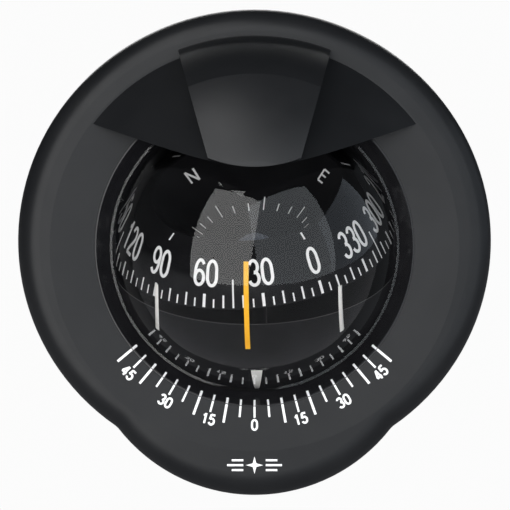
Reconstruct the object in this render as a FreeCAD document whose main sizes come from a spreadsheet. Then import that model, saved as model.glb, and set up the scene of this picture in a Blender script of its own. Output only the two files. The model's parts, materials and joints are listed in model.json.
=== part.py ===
import FreeCAD, Part
import os
import re

import Sketcher
from FreeCAD import Placement, Rotation, Vector

# A bulkhead compass: a domed, liquid-filled steering compass whose face leans back from upright.
# Row frame: +Z up, -Y towards the reader, origin on the compass axis in the bulkhead's surface.
# Housing pieces are drawn about their own Z axis, the compass axis: z is the distance in front of
# the bulkhead, y is up the face and x is to the right.

# Driving dimensions, in millimetres and degrees. Each one is a cell of the sheet.
SIZES = {
    "recline_angle": 24.5,
    # fascia: two side arcs and a top arc that meet smoothly, and a lower lobe
    "side_arc_radius": 78.5,
    "side_arc_x": 4.1,
    "side_arc_y": 2.1,
    "top_arc_y": -0.5,
    "kink_x": 48,
    "lobe_radius": 60.3,
    "kink_round": 4,
    "rim_gap": 0.5,
    "face_height": 17,
    "face_round": 8,
    "dish_radius": 71,
    "dish_edge_height": 15.7,
    "aperture_radius": 55.5,
    "fascia_inside_radius": 75.7,
    "fascia_inside_height": 13.2,
    # bulkhead mounting
    "gasket_depth": 1.5,
    "spigot_radius": 59,
    "spigot_wall": 2.5,
    "spigot_length": 12,
    "register_radius": 59.8,
    "flange_radius": 75.5,
    "flange_depth": 3,
    "bowl_seat_radius": 54,
    "stud_radius": 2,
    "stud_neck_radius": 2.15,
    "stud_hole_radius": 2.2,
    "stud_circle_radius": 68,
    "stud_length": 25,
    "stud_head_radius": 3.8,
    "stud_head_depth": 2.5,
    # dome, its bezel and the clamp screws
    "dome_radius": 50,
    "dome_wall": 2.7,
    "dome_centre": 7,
    "rim_radius": 57.6,
    "rim_depth": 2.5,
    "throat_radius": 50.6,
    "bezel_flange_radius": 64,
    "bezel_flange_depth": 2.2,
    "bezel_lip_height": 15.6,
    "clamp_circle_radius": 61,
    "clamp_screw_radius": 1.2,
    "clamp_head_radius": 2.6,
    "clamp_head_depth": 1.3,
    "clamp_boss_radius": 3,
    "clamp_hole_end": 2.8,
    "clamp_screw_end": 3,
    "seal_inner_radius": 52.5,
    "seal_outer_radius": 54.3,
    "seal_depth": 1.3,
    # rear bowl
    "bowl_radius": 52,
    "bowl_inside_radius": 49.8,
    "neck_radius": 23.5,
    "neck_inside_radius": 21,
    "neck_end": -46,
    "neck_flange_radius": 29,
    "neck_flange_depth": 3,
    "cover_depth": 7.2,
    "cover_wall": 2,
    "vent_radius": 1.5,
    "cover_circle_radius": 25.5,
    "cover_screw_radius": 1,
    "diaphragm_depth": 0.8,
    "filler_y": 36,
    "filler_boss_radius": 5,
    "filler_boss_end": -38,
    "filler_bore_radius": 2.5,
    # magnetic correctors, in a block under the bowl
    "block_half_width": 16,
    "block_low_y": -56,
    "block_high_y": -38,
    "block_rear": -36,
    "block_front": -20,
    "corrector_y": -50,
    "corrector_radius": 2.5,
    "corrector_bore_radius": 2.55,
    "corrector_length": 13.3,
    "corrector_bore_depth": 14,
    "north_corrector_x": -8,
    "east_corrector_z": -28,
    "corrector_magnet_radius": 1.2,
    "corrector_magnet_length": 4.4,
    # visor: a cone about the compass axis, trimmed by a sloping plane
    "visor_root_radius": 70.3,
    "visor_wall": 3.1,
    "visor_front_radius": 22,
    "trim_root_y": 42.5,
    "trim_slope": 0.368,
    # bonnet over the lamp, at the top of the visor
    "bonnet_root_radius": 73.1,
    "bonnet_brow_radius": 58,
    "bonnet_brow_height": 30.5,
    "bonnet_brow_bend": 60,
    "bonnet_front_radius": 28.2,
    "bonnet_front_height": 44.6,
    "bonnet_front_bend": 95,
    "bonnet_top_half": 26.3,
    "bonnet_shoulder_y": 67.5,
    "bonnet_foot_half": 12.9,
    "bonnet_foot_y": 20,
    "bonnet_lip_y": 26.3,
    "bonnet_lip_radius": 41.5,
    "visor_screw_x": 18,
    "visor_screw_y": 66.5,
    "visor_screw_radius": 1.25,
    "visor_screw_end": 23,
    "visor_screw_head_radius": 3,
    "visor_screw_head_depth": 1.2,
    "screw_clearance": 0.3,
    "cable_hole_radius": 2,
    "cable_hole_offset": 2.3,
    # lamp
    "lamp_radius_out": 52,
    "lens_radius": 4,
    "holder_width": 12,
    "holder_length": 8,
    "holder_depth": 1.6,
    "board_depth": 0.8,
    "diode_radius": 1.5,
    "diode_gap": 0.6,
    "diode_depth": 1,
    # terminals for the lamp, behind the top of the spigot
    "terminal_width": 16,
    "terminal_height": 5,
    "terminal_depth": 4,
    "terminal_y": 53,
    "blade_spacing": 8,
    "blade_width": 0.8,
    "blade_height": 4,
    "blade_depth": 7,
    # gimbal, measured from the dome's centre
    "heel_angle": 1,
    "ring_inside": 45.2,
    "ring_outside": 46.8,
    "ring_half_depth": 3,
    "yoke_inside": 45.35,
    "yoke_outside": 47.2,
    "yoke_half_width": 4,
    "hub_end": -48.4,
    "roll_shaft_radius": 1.5,
    "roll_shaft_end": -52.9,
    "roll_bush_bore": 1.55,
    "roll_bush_radius": 2.6,
    "bridge_half_width": 5,
    "bridge_depth": 2.5,
    "bridge_height": 1,
    "tongue_half_width": 2.5,
    "tongue_outside": 46,
    "pointer_outside": 46.4,
    "pointer_tip_angle": 5.4,
    "pointer_base_angle": 28.5,
    "pointer_tip_half": 0.65,
    "pointer_base_half": 1.85,
    "roll_ballast_inside": 47.4,
    "roll_ballast_outside": 49.2,
    "roll_ballast_half": 16,
    "roll_ballast_start": 10,
    "roll_ballast_sweep": 45,
    "pitch_pin_radius": 1,
    "pitch_bush_bore": 1.05,
    "pitch_bush_radius": 1.8,
    "pitch_bush_length": 1.4,
    "pitch_pin_length": 5,
    # mask bowl and lubber lines
    "mask_radius": 44.2,
    "mask_inside_radius": 43.2,
    "mask_ear_height": 1.5,
    "mask_ear_half_width": 5,
    "mask_rim_height": -8,
    "lug_inside_x": 41.5,
    "lug_radius": 4,
    "lubber_outside": 44.9,
    "lubber_half_width": 0.8,
    "lubber_azimuth": -3.8,
    "lubber_low": 23.2,
    "lubber_high": 18.1,
    "side_lubber_half_width": 0.5,
    "side_lubber_low": 28.8,
    "side_lubber_high": 2.5,
    "side_lubber_offset": 29.65,
    "ballast_height": 6,
    # card and its pivot
    "card_heading": 34.2,
    "card_dip": 5.4,
    "card_drop": 4.34,
    "card_radius": 36.7,
    "card_wall": 0.9,
    "shoulder_radius": 30.6,
    "shoulder_height": 14.4,
    "crown_radius": 25.9,
    "crown_inside": 25.2,
    "crown_height": 17.8,
    "lean_wall": 1.125,
    "well_radius": 9,
    "well_height": 4.8,
    "well_wall": 0.8,
    "well_foot_radius": 9.3,
    "cup_radius": 4,
    "cup_low": 1,
    "cup_height": 6.8,
    "jewel_bore": 1.2,
    "jewel_gap": 0.1,
    "float_radius": 11,
    "float_low": -4,
    "card_magnet_width": 3,
    "card_magnet_length": 28,
    "post_radius": 2.6,
    "post_height": -4.3,
    "needle_radius": 0.6,
    "needle_point": 1.5,
}

THROUGH = "200"  # longer than any cut has to be

doc = FreeCAD.newDocument("bulkhead_compass")
sheet = doc.addObject("Spreadsheet::Sheet", "dims")
for row, (alias, size) in enumerate(SIZES.items(), 1):
    sheet.set(f"A{row}", alias)
    sheet.set(f"B{row}", str(size))
    sheet.setAlias(f"B{row}", alias)
doc.recompute()


def on_sheet(text):
    """Turn a sum of dimension names into an expression on the sheet."""
    return re.sub(r"[a-z]\w+", lambda word: "dims." + word[0] if word[0] in SIZES else word[0], text)


def value(text):
    """The number that an expression gives."""
    return float(sheet.evalExpression(on_sheet(text)))


def bind(obj, **properties):
    for name, text in properties.items():
        obj.setExpression(name.replace("__", "."), on_sheet(text))


housing = Placement(Vector(0, 0, 0), Rotation(Vector(1, 0, 0), 90 - value("recline_angle")))
heeled = Rotation(Vector(0, 0, 1), value("heel_angle"))
roll_frame_place = housing * Placement(Vector(0, 0, value("dome_centre")), heeled)
pitched = Rotation(Vector(1, 0, 0), value("recline_angle") - 90)
bowl_place = roll_frame_place * Placement(Vector(), pitched)
card_tilt = Placement(bowl_place.Base, Rotation(Vector(0, 1, 0), -value("card_dip")))
card_turn = Rotation(Vector(0, 0, 1), value("card_heading"))
card_place = card_tilt * Placement(Vector(0, 0, -value("card_drop")), card_turn)

nodes = {}
volumes = {}


def node(shape, name, place):
    """Name a finished piece and put it where it belongs."""
    shape.Label = name
    shape.Placement = place * shape.Placement
    nodes[name] = shape
    return shape


# Sketches and the features made from them


def plane_of(body, role):
    return next(item for item in body.Origin.OriginFeatures if item.Role == role)


def sketch_on(body, role, offset="0"):
    sketch = body.newObject("Sketcher::SketchObject", "Outline")
    sketch.AttachmentSupport = (plane_of(body, role), [""])
    sketch.MapMode = "FlatFace"
    if offset != "0":
        bind(sketch, AttachmentOffset__Base__z=offset)
    return sketch


def pin_point(sketch, edge, end, across, along):
    """Hold one point of a sketch at two distances from its origin."""
    if across == "0":
        sketch.addConstraint(Sketcher.Constraint("PointOnObject", edge, end, -2))
    else:
        index = sketch.addConstraint(Sketcher.Constraint("DistanceX", -1, 1, edge, end, value(across)))
        sketch.setExpression(f"Constraints[{index}]", on_sheet(across))
    if along == "0":
        sketch.addConstraint(Sketcher.Constraint("PointOnObject", edge, end, -1))
    else:
        index = sketch.addConstraint(Sketcher.Constraint("DistanceY", -1, 1, edge, end, value(along)))
        sketch.setExpression(f"Constraints[{index}]", on_sheet(along))


def arc_between(start, end, radius, left):
    """The shorter arc between two points; left puts its centre on the left of the way there."""
    chord = end - start
    aside = Vector(-chord.y, chord.x, 0).normalize() * (1 if left else -1)
    centre = (start + end) * 0.5 + aside * max(radius**2 - (chord.Length / 2) ** 2, 0) ** 0.5
    middle = (start + end) * 0.5 - centre
    if middle.Length < 1e-9:
        middle = aside * -1
    return Part.Arc(start, centre + middle.normalize() * radius, end)


def closed_outline(sketch, corners):
    """Draw straight sides between (across, along) corners. A corner with a third entry, a radius,
    is reached by an arc whose centre is on the left of the way there, or on the right if the
    fourth entry says so."""
    points = [Vector(value(corner[0]), value(corner[1]), 0) for corner in corners]
    for index, start in enumerate(points):
        after = (index + 1) % len(points)
        corner = corners[after]
        if len(corner) > 2:
            arc = arc_between(start, points[after], value(corner[2]), corner[3:] != ("right",))
            sketch.addGeometry(arc)
        else:
            sketch.addGeometry(Part.LineSegment(start, points[after]))
    ends = []
    for index, start in enumerate(points):
        edge_start = sketch.getPoint(index, 1)
        ends.append((1, 2) if edge_start.distanceToPoint(start) < 1e-6 else (2, 1))
    for index, (across, along, *arc) in enumerate(corners):
        before = index - 1 if index else len(corners) - 1
        sketch.addConstraint(
            Sketcher.Constraint("Coincident", before, ends[before][1], index, ends[index][0])
        )
        pin_point(sketch, index, ends[index][0], across, along)
        if arc:
            number = sketch.addConstraint(Sketcher.Constraint("Radius", before, value(arc[0])))
            sketch.setExpression(f"Constraints[{number}]", on_sheet(arc[0]))
    return sketch


def circles(sketch, holes):
    """Draw circles, each a (radius, across, along) of expressions."""
    for radius, across, along in holes:
        centre = Vector(value(across), value(along), 0)
        edge = sketch.addGeometry(Part.Circle(centre, Vector(0, 0, 1), value(radius)))
        index = sketch.addConstraint(Sketcher.Constraint("Radius", edge, value(radius)))
        sketch.setExpression(f"Constraints[{index}]", on_sheet(radius))
        pin_point(sketch, edge, 3, across, along)
    return sketch


def ring_of(count, radius, circle, first=0):
    """Circles evenly spaced on a circle, the first at an angle from +X."""
    angles = [first + 360 / count * turn for turn in range(count)]
    return [(radius, f"{circle} * cos({angle})", f"{circle} * sin({angle})") for angle in angles]


def new_body():
    return doc.addObject("PartDesign::Body", "Piece")


def feature(body, kind, sketch, **bound):
    made = body.newObject("PartDesign::" + kind, kind)
    made.Profile = sketch
    bind(made, **bound)
    return made


def checked(body, adds):
    """Recompute, and make sure that the newest feature added to or cut from the body."""
    doc.recompute()
    change = body.Shape.Volume - volumes.get(body.Name, 0)
    if (change > 0) != adds or abs(change) < 1e-6:
        raise RuntimeError(f"{body.Tip.Name} changed the volume by {change:.3f}")
    volumes[body.Name] = body.Shape.Volume
    return body


def turned(body, corners, adds=True, angle="360", role="XZ_Plane", axis="V_Axis", reverse=False):
    """Turn an outline about an axis of its own sketch."""
    sketch = closed_outline(sketch_on(body, role), corners)
    made = feature(body, "Revolution" if adds else "Groove", sketch, Angle=angle)
    made.ReferenceAxis = (sketch, [axis])
    made.Reversed = reverse
    made.Midplane = role == "YZ_Plane"
    return checked(body, adds)


def padded(body, holes, start, depth):
    """Stand round pads on the plane at start, towards the front."""
    sketch = circles(sketch_on(body, "XY_Plane", start), holes)
    feature(body, "Pad", sketch, Length=depth)
    return checked(body, True)


def bored(body, holes, start, depth, role="XY_Plane", reverse=False):
    """Sink round holes from the plane at start towards the rear, or towards the front."""
    sketch = circles(sketch_on(body, role, start), holes)
    cut = feature(body, "Pocket", sketch, Length=depth)
    cut.Reversed = reverse
    return checked(body, False)


def cut_through(body, role, corners):
    """Cut an outline right through, both ways from its plane."""
    sketch = closed_outline(sketch_on(body, role), corners)
    cut = feature(body, "Pocket", sketch, Length=THROUGH)
    cut.Midplane = True
    return checked(body, False)


def edges_at(shape, test):
    """Names of the edges whose every point passes the test."""
    names = []
    for number, edge in enumerate(shape.Edges, 1):
        if all(test(point) for point in edge.discretize(5)):
            names.append(f"Edge{number}")
    return names


def rounded(body, radius, test, adds):
    """Round the edges that pass the test; at an inside corner that adds material."""
    base = body.Tip
    made = body.newObject("PartDesign::Fillet", "Fillet")
    made.Base = (base, edges_at(base.Shape, test))
    bind(made, Radius=radius)
    return checked(body, adds)


# Solids from Part's own primitives


def rod(radius, low, height, x="0", y="0", turn=Rotation()):
    piece = doc.addObject("Part::Cylinder", "Rod")
    piece.Placement.Rotation = turn
    bind(piece, Radius=radius, Height=height)
    bind(piece, Placement__Base__x=x, Placement__Base__y=y, Placement__Base__z=low)
    return piece


def block(width, length, height, x, y, z):
    piece = doc.addObject("Part::Box", "Block")
    bind(piece, Length=width, Width=length, Height=height)
    bind(piece, Placement__Base__x=x, Placement__Base__y=y, Placement__Base__z=z)
    return piece


def joined(pieces):
    """One object of several solids; those that touch become one."""
    made = doc.addObject("Part::MultiFuse", "Group")
    made.Shapes = pieces
    doc.recompute()
    return made


def alone(piece):
    """A primitive held in an object of its own, so that it can be placed as a whole."""
    made = doc.addObject("Part::Compound", "Single")
    made.Links = [piece]
    doc.recompute()
    return made


def less(base, tool):
    made = doc.addObject("Part::Cut", "Less")
    made.Base = base
    made.Tool = tool
    doc.recompute()
    return made


def on_circle(count, circle, first, make):
    """Call make(x, y) for places evenly spaced on a circle."""
    return [make(x, y) for _, x, y in ring_of(count, "0", circle, first)]


# Fascia and what it carries

DISH = "(face_height - dish_edge_height) / (dish_radius - aperture_radius)"


def fascia():
    """The front moulding: a dished face inside a rounded rim, with a lobe at the bottom."""
    apart = "sqrt(side_arc_x^2 + (side_arc_y - top_arc_y)^2)"
    top_radius = f"(side_arc_radius + {apart})"
    meet_x = f"side_arc_x * {top_radius} / {apart}"
    meet_y = f"top_arc_y + (side_arc_y - top_arc_y) * {top_radius} / {apart}"
    kink_y = "side_arc_y - sqrt(side_arc_radius^2 - (kink_x - side_arc_x)^2)"
    body = new_body()
    outline = [
        (meet_x, meet_y, "side_arc_radius"),
        (f"-{meet_x}", meet_y, top_radius),
        ("-kink_x", kink_y, "side_arc_radius"),
        ("kink_x", kink_y, "lobe_radius"),
    ]
    sketch = closed_outline(sketch_on(body, "XY_Plane", "rim_gap"), outline)
    feature(body, "Pad", sketch, Length="face_height - rim_gap")
    checked(body, True)
    kink = value("kink_x")
    rounded(body, "kink_round", lambda p: abs(abs(p.x) - kink) < 0.01 and p.y < 0, adds=True)
    front = value("face_height")
    rounded(body, "face_round", lambda p: abs(p.z - front) < 0.01, adds=False)
    turned(
        body,
        [
            ("0", "-1"),
            ("aperture_radius", "-1"),
            ("aperture_radius", "dish_edge_height"),
            ("dish_radius", "face_height"),
            ("dish_radius", "face_height + 1"),
            ("0", "face_height + 1"),
        ],
        adds=False,
    )
    inside = [
        ("0", "-1"),
        ("fascia_inside_radius", "-1"),
        ("fascia_inside_radius", "fascia_inside_height"),
        ("0", "fascia_inside_height"),
    ]
    turned(body, inside, adds=False)
    bored(body, screw_pair("visor_screw_radius + screw_clearance"), "face_height + 1", "6")
    cable_hole = ("cable_hole_radius", "0", "visor_screw_y + cable_hole_offset")
    bored(body, [cable_hole], "face_height + 1", "6")
    node(body, "fascia", housing)


def screw_pair(radius):
    """Circles at the two visor screws."""
    return [(radius, "visor_screw_x", "visor_screw_y"), (radius, "-visor_screw_x", "visor_screw_y")]


def trim_below(body):
    """Cut away everything under the visor's sloping lower plane."""
    corners = [
        ("trim_root_y + trim_slope * 20", "face_height - 20"),
        ("trim_root_y - trim_slope * 60", "face_height + 60"),
        ("-100", "face_height + 60"),
        ("-100", "face_height - 20"),
    ]
    cut_through(body, "YZ_Plane", corners)


VISOR_LINE = "visor_root_radius + face_height"  # radius plus height all over the visor's outside
FACING_IN = Rotation(Vector(1, 0, 0), -45)  # turns +Z square to the top of the visor's cone


def lamp_point(out):
    """Height on the face and distance from the bulkhead, out from the visor above the lens."""
    return (
        f"lamp_radius_out + ({out}) * sqrt(0.5)",
        f"{VISOR_LINE} - lamp_radius_out + ({out}) * sqrt(0.5)",
    )


def visor_hood():
    body = new_body()
    root = f"face_height - (dish_radius - visor_root_radius) * {DISH}"
    inner_root = f"face_height - (dish_radius - visor_root_radius + visor_wall) * {DISH}"
    turned(
        body,
        [
            ("visor_root_radius", root),
            ("visor_front_radius", f"{VISOR_LINE} - visor_front_radius"),
            ("visor_front_radius - visor_wall", f"{VISOR_LINE} - visor_front_radius"),
            ("visor_root_radius - visor_wall", inner_root),
        ],
    )
    trim_below(body)
    bored(body, screw_pair("visor_screw_radius"), "face_height + 8", "12")
    low_y, low_z = lamp_point("-6")
    window = rod("lens_radius", low_z, "12", y=low_y, turn=FACING_IN)
    node(less(body, window), "visor_hood", housing)


def lamp_bonnet():
    """The raised cover over the lamp, open underneath, where the visor closes it."""
    body = new_body()
    turned(
        body,
        [
            ("visor_root_radius", "face_height"),
            ("bonnet_root_radius", "face_height"),
            ("bonnet_root_radius - 0.7", "face_height + 5"),
            ("bonnet_brow_radius", "face_height + bonnet_brow_height", "bonnet_brow_bend"),
            ("bonnet_front_radius", "face_height + bonnet_front_height", "bonnet_front_bend"),
            ("25.2", f"{VISOR_LINE} - 25.2"),
        ],
    )
    for side in ("", "-"):
        corners = [
            (side + "bonnet_foot_half", "bonnet_foot_y"),
            (side + "bonnet_top_half", "bonnet_shoulder_y"),
            (side + "bonnet_top_half", "100"),
            (side + "100", "100"),
            (side + "100", "-100"),
            (side + "bonnet_foot_half", "-100"),
        ]
        cut_through(body, "XY_Plane", corners)
    foot_y = "bonnet_lip_y + bonnet_lip_radius - sqrt(bonnet_lip_radius^2 - 400)"
    foot = [("-20", foot_y), ("20", foot_y, "bonnet_lip_radius"), ("20", "-100"), ("-20", "-100")]
    cut_through(body, "XY_Plane", foot)
    cavity = [
        ("65.5", f"{VISOR_LINE} - 66.5"),
        ("69.5", "face_height + 4.5"),
        ("68.8", "face_height + 8"),
        ("60", "face_height + 23"),
        ("56", "face_height + 28"),
        ("46", "face_height + 34"),
        ("42", "face_height + 34"),
        ("42", "face_height + 27"),
    ]
    turned(body, cavity, adds=False, angle="24", role="YZ_Plane")
    bored(body, screw_pair("visor_screw_radius"), "visor_screw_end", "8")
    node(body, "lamp_bonnet", housing)


def visor_screws():
    """Screws from inside the fascia, up into the bonnet."""
    under = "fascia_inside_height"
    depth = "visor_screw_head_depth"
    pieces = []
    for x in ("visor_screw_x", "-visor_screw_x"):
        pieces.append(rod("visor_screw_head_radius", f"{under} - {depth}", depth, x, "visor_screw_y"))
        pieces.append(rod("visor_screw_radius", under, f"visor_screw_end - {under}", x, "visor_screw_y"))
    node(joined(pieces), "visor_screws", housing)


def lamp_plate(out, depth):
    """A plate of the holder's size, square to the lens and centred over it."""
    y, z = lamp_point(out)
    half = "holder_length / 2 * sqrt(0.5)"
    corner = ("-holder_width / 2", f"{y} - {half}", f"{z} + {half}")
    plate = block("holder_width", "holder_length", depth, *corner)
    plate.Placement.Rotation = FACING_IN
    return plate


def lamp():
    """The lens in the visor, and above it the holder, the board and the light-emitting diode."""
    lens_y, lens_z = lamp_point("-visor_wall * sqrt(0.5)")
    lens = rod("lens_radius", lens_z, "visor_wall * sqrt(0.5)", y=lens_y, turn=FACING_IN)
    node(alone(lens), "lamp_lens", housing)
    bore_y, bore_z = lamp_point("-1")
    bore = rod("diode_radius + diode_gap", bore_z, "holder_depth + 2", y=bore_y, turn=FACING_IN)
    node(less(lamp_plate("0", "holder_depth"), bore), "lamp_holder", housing)
    node(alone(lamp_plate("holder_depth", "board_depth")), "lamp_board", housing)
    diode_y, diode_z = lamp_point("holder_depth - diode_depth")
    diode = rod("diode_radius", diode_z, "diode_depth", y=diode_y, turn=FACING_IN)
    node(alone(diode), "lamp_diode", housing)


def lamp_terminals():
    """A block on the rear edge of the spigot, with two blades for the lamp's wires."""
    rear = "-spigot_length - terminal_depth"
    base_size = ("terminal_width", "terminal_height", "terminal_depth")
    node(alone(block(*base_size, "-terminal_width / 2", "terminal_y", rear)), "terminal_block", housing)
    blade_size = ("blade_width", "blade_height", "blade_depth")
    blade_y = "terminal_y + (terminal_height - blade_height) / 2"
    blades = [
        block(*blade_size, f"{side} blade_spacing / 2 - blade_width / 2", blade_y, f"{rear} - blade_depth")
        for side in ("-", "")
    ]
    node(joined(blades), "lamp_terminals", housing)


# Bulkhead mounting


def gasket():
    body = new_body()
    holes = [("flange_radius", "0", "0"), ("register_radius", "0", "0")]
    studs = ring_of(4, "stud_hole_radius", "stud_circle_radius", 45)
    sketch = circles(sketch_on(body, "XY_Plane"), holes + studs)
    feature(body, "Pad", sketch, Length="gasket_depth")
    checked(body, True)
    node(body, "gasket", housing)


def mounting_ring():
    """The flange behind the fascia, with the spigot that enters the bulkhead."""
    front = "gasket_depth + flange_depth"
    body = new_body()
    turned(
        body,
        [
            ("spigot_radius - spigot_wall", "-spigot_length"),
            ("spigot_radius", "-spigot_length"),
            ("spigot_radius", "0"),
            ("register_radius", "0"),
            ("register_radius", "gasket_depth"),
            ("flange_radius", "gasket_depth"),
            ("flange_radius", front),
            ("bowl_seat_radius", front),
            ("bowl_seat_radius", "gasket_depth"),
            ("spigot_radius - spigot_wall", "gasket_depth"),
        ],
    )
    stack = "dome_centre + rim_depth"
    padded(body, ring_of(6, "clamp_boss_radius", "clamp_circle_radius"), front, f"{stack} - ({front})")
    tapped = ring_of(6, "clamp_screw_radius", "clamp_circle_radius")
    bored(body, tapped, stack, f"{stack} - clamp_hole_end")
    bored(body, ring_of(4, "stud_hole_radius", "stud_circle_radius", 45), front, "10")
    node(body, "mounting_ring", housing)


def mounting_studs():
    front = "gasket_depth + flange_depth"

    def stud(x, y):
        shank = rod("stud_radius", "-stud_length", f"stud_length + {front}", x, y)
        neck = rod("stud_neck_radius", "0", front, x, y)
        return joined([shank, neck, rod("stud_head_radius", front, "stud_head_depth", x, y)])

    node(joined(on_circle(4, "stud_circle_radius", 45, stud)), "mounting_studs", housing)


# Dome, bezel and rear bowl


def dome():
    inside = "(dome_radius - dome_wall)"
    body = turned(
        new_body(),
        [
            ("rim_radius", "dome_centre"),
            ("rim_radius", "dome_centre + rim_depth"),
            ("sqrt(dome_radius^2 - rim_depth^2)", "dome_centre + rim_depth"),
            ("0", "dome_centre + dome_radius", "dome_radius"),
            ("0", f"dome_centre + {inside}"),
            (inside, "dome_centre", inside, "right"),
        ],
    )
    node(body, "dome", housing)


def dome_bezel():
    """The glossy ring that clamps the dome and forms the throat around it."""
    back = "dome_centre + rim_depth"
    lip = "aperture_radius - 0.1"
    body = turned(
        new_body(),
        [
            ("throat_radius", back),
            ("bezel_flange_radius", back),
            ("bezel_flange_radius", f"{back} + bezel_flange_depth"),
            (lip, f"{back} + bezel_flange_depth"),
            (lip, "bezel_lip_height"),
            (f"{lip} - 0.4", "bezel_lip_height"),
            ("throat_radius", f"{back} + 0.3"),
        ],
    )
    clearance = ring_of(6, "clamp_screw_radius + screw_clearance", "clamp_circle_radius")
    bored(body, clearance, f"{back} + 4", "8")
    node(body, "dome_bezel", housing)


def bezel_screws():
    top = "dome_centre + rim_depth + bezel_flange_depth"

    def screw(x, y):
        shank = rod("clamp_screw_radius", "clamp_screw_end", f"{top} - clamp_screw_end", x, y)
        return joined([shank, rod("clamp_head_radius", top, "clamp_head_depth", x, y)])

    node(joined(on_circle(6, "clamp_circle_radius", 0, screw)), "bezel_screws", housing)


def dome_seal():
    low = "dome_centre - seal_depth"
    corners = [
        ("seal_inner_radius", low),
        ("seal_outer_radius", low),
        ("seal_outer_radius", "dome_centre"),
        ("seal_inner_radius", "dome_centre"),
    ]
    node(turned(new_body(), corners), "dome_seal", housing)


def rear_bowl():
    """The bowl behind the dome, with its neck, the corrector block and the filler boss."""
    rim_back = "dome_centre - rim_depth"
    flange = "neck_end + neck_flange_depth"
    body = turned(
        new_body(),
        [
            ("0", "neck_end"),
            ("neck_flange_radius", "neck_end"),
            ("neck_flange_radius", flange),
            ("neck_radius", flange),
            ("neck_radius", "dome_centre - sqrt(bowl_radius^2 - neck_radius^2)"),
            ("sqrt(bowl_radius^2 - rim_depth^2)", rim_back, "bowl_radius"),
            ("rim_radius", rim_back),
            ("rim_radius", "dome_centre"),
            ("0", "dome_centre"),
        ],
    )
    block_outline = [
        ("-block_half_width", "block_low_y"),
        ("block_half_width", "block_low_y"),
        ("block_half_width", "block_high_y"),
        ("-block_half_width", "block_high_y"),
    ]
    sketch = closed_outline(sketch_on(body, "XY_Plane", "block_rear"), block_outline)
    feature(body, "Pad", sketch, Length="block_front - block_rear")
    checked(body, True)
    padded(body, [("filler_boss_radius", "0", "filler_y")], "filler_boss_end", "12")
    turned(
        body,
        [
            ("0", "neck_end - 1"),
            ("neck_inside_radius", "neck_end - 1"),
            ("neck_inside_radius", "dome_centre - sqrt(bowl_inside_radius^2 - neck_inside_radius^2)"),
            ("bowl_inside_radius", "dome_centre", "bowl_inside_radius"),
            ("bowl_inside_radius", "dome_centre + 1"),
            ("0", "dome_centre + 1"),
        ],
        adds=False,
    )
    groove = [
        ("seal_inner_radius", "dome_centre - seal_depth"),
        ("seal_outer_radius", "dome_centre - seal_depth"),
        ("seal_outer_radius", "dome_centre + 1"),
        ("seal_inner_radius", "dome_centre + 1"),
    ]
    turned(body, groove, adds=False)
    bore = "corrector_bore_radius"
    north = [(bore, "north_corrector_x", "corrector_y")]
    bored(body, north, "block_rear", "corrector_bore_depth", reverse=True)
    east = [(bore, "corrector_y", "east_corrector_z")]
    bored(body, east, "block_half_width", "corrector_bore_depth", role="YZ_Plane")
    bored(body, [("filler_bore_radius", "0", "filler_y")], "filler_boss_end", "20", reverse=True)
    bored(body, ring_of(4, "cover_screw_radius", "cover_circle_radius", 45), flange, "10")
    node(body, "rear_bowl", housing)


def filler():
    seal_depth = "0.6"
    ring = [
        ("filler_bore_radius + 0.1", f"filler_boss_end - {seal_depth}"),
        ("filler_bore_radius + 1.7", f"filler_boss_end - {seal_depth}"),
        ("filler_bore_radius + 1.7", "filler_boss_end"),
        ("filler_bore_radius + 0.1", "filler_boss_end"),
    ]
    up = Placement(Vector(0, value("filler_y"), 0), Rotation())
    node(turned(new_body(), ring), "filler_seal", housing * up)
    head_back = f"filler_boss_end - {seal_depth} - 2"
    head = rod("filler_bore_radius + 1.5", head_back, "2", y="filler_y")
    shank = rod("filler_bore_radius - 0.05", head_back, "7.5", y="filler_y")
    node(joined([head, shank]), "filler_plug", housing)


def bellows():
    """The corrugated diaphragm that takes up the liquid's expansion, its cover and the screws."""
    front = "neck_end"
    back = "neck_end - diaphragm_depth"
    body = turned(
        new_body(),
        [
            ("0", f"{back} - 0.8"),
            ("8", f"{back} - 0.8"),
            ("11", f"{back} - 2.7"),
            ("14", f"{back} - 2.7"),
            ("17", back),
            ("neck_flange_radius", back),
            ("neck_flange_radius", front),
            ("16.6", front),
            ("13.7", f"{front} - 2.7"),
            ("11.3", f"{front} - 2.7"),
            ("8.3", f"{front} - 0.8"),
            ("0", f"{front} - 0.8"),
        ],
    )
    holes = ring_of(4, "cover_screw_radius + screw_clearance", "cover_circle_radius", 45)
    bored(body, holes, "neck_end + 1", "5")
    node(body, "diaphragm", housing)
    end = f"({back} - cover_depth)"
    body = turned(
        new_body(),
        [
            ("vent_radius", end),
            ("neck_flange_radius - 1.5", end),
            ("neck_flange_radius", f"{end} + 1.5"),
            ("neck_flange_radius", back),
            ("neck_inside_radius", back),
            ("neck_inside_radius", f"{end} + cover_wall"),
            ("vent_radius", f"{end} + cover_wall"),
        ],
    )
    bored(body, holes, back, "10")
    node(body, "diaphragm_cover", housing)

    def screw(x, y):
        shank = rod("cover_screw_radius", end, f"neck_end + 2.5 - {end}", x, y)
        return joined([shank, rod("cover_screw_radius * 2.1", f"{end} - 1.2", "1.2", x, y)])

    node(joined(on_circle(4, "cover_circle_radius", 45, screw)), "diaphragm_screws", housing)


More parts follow.
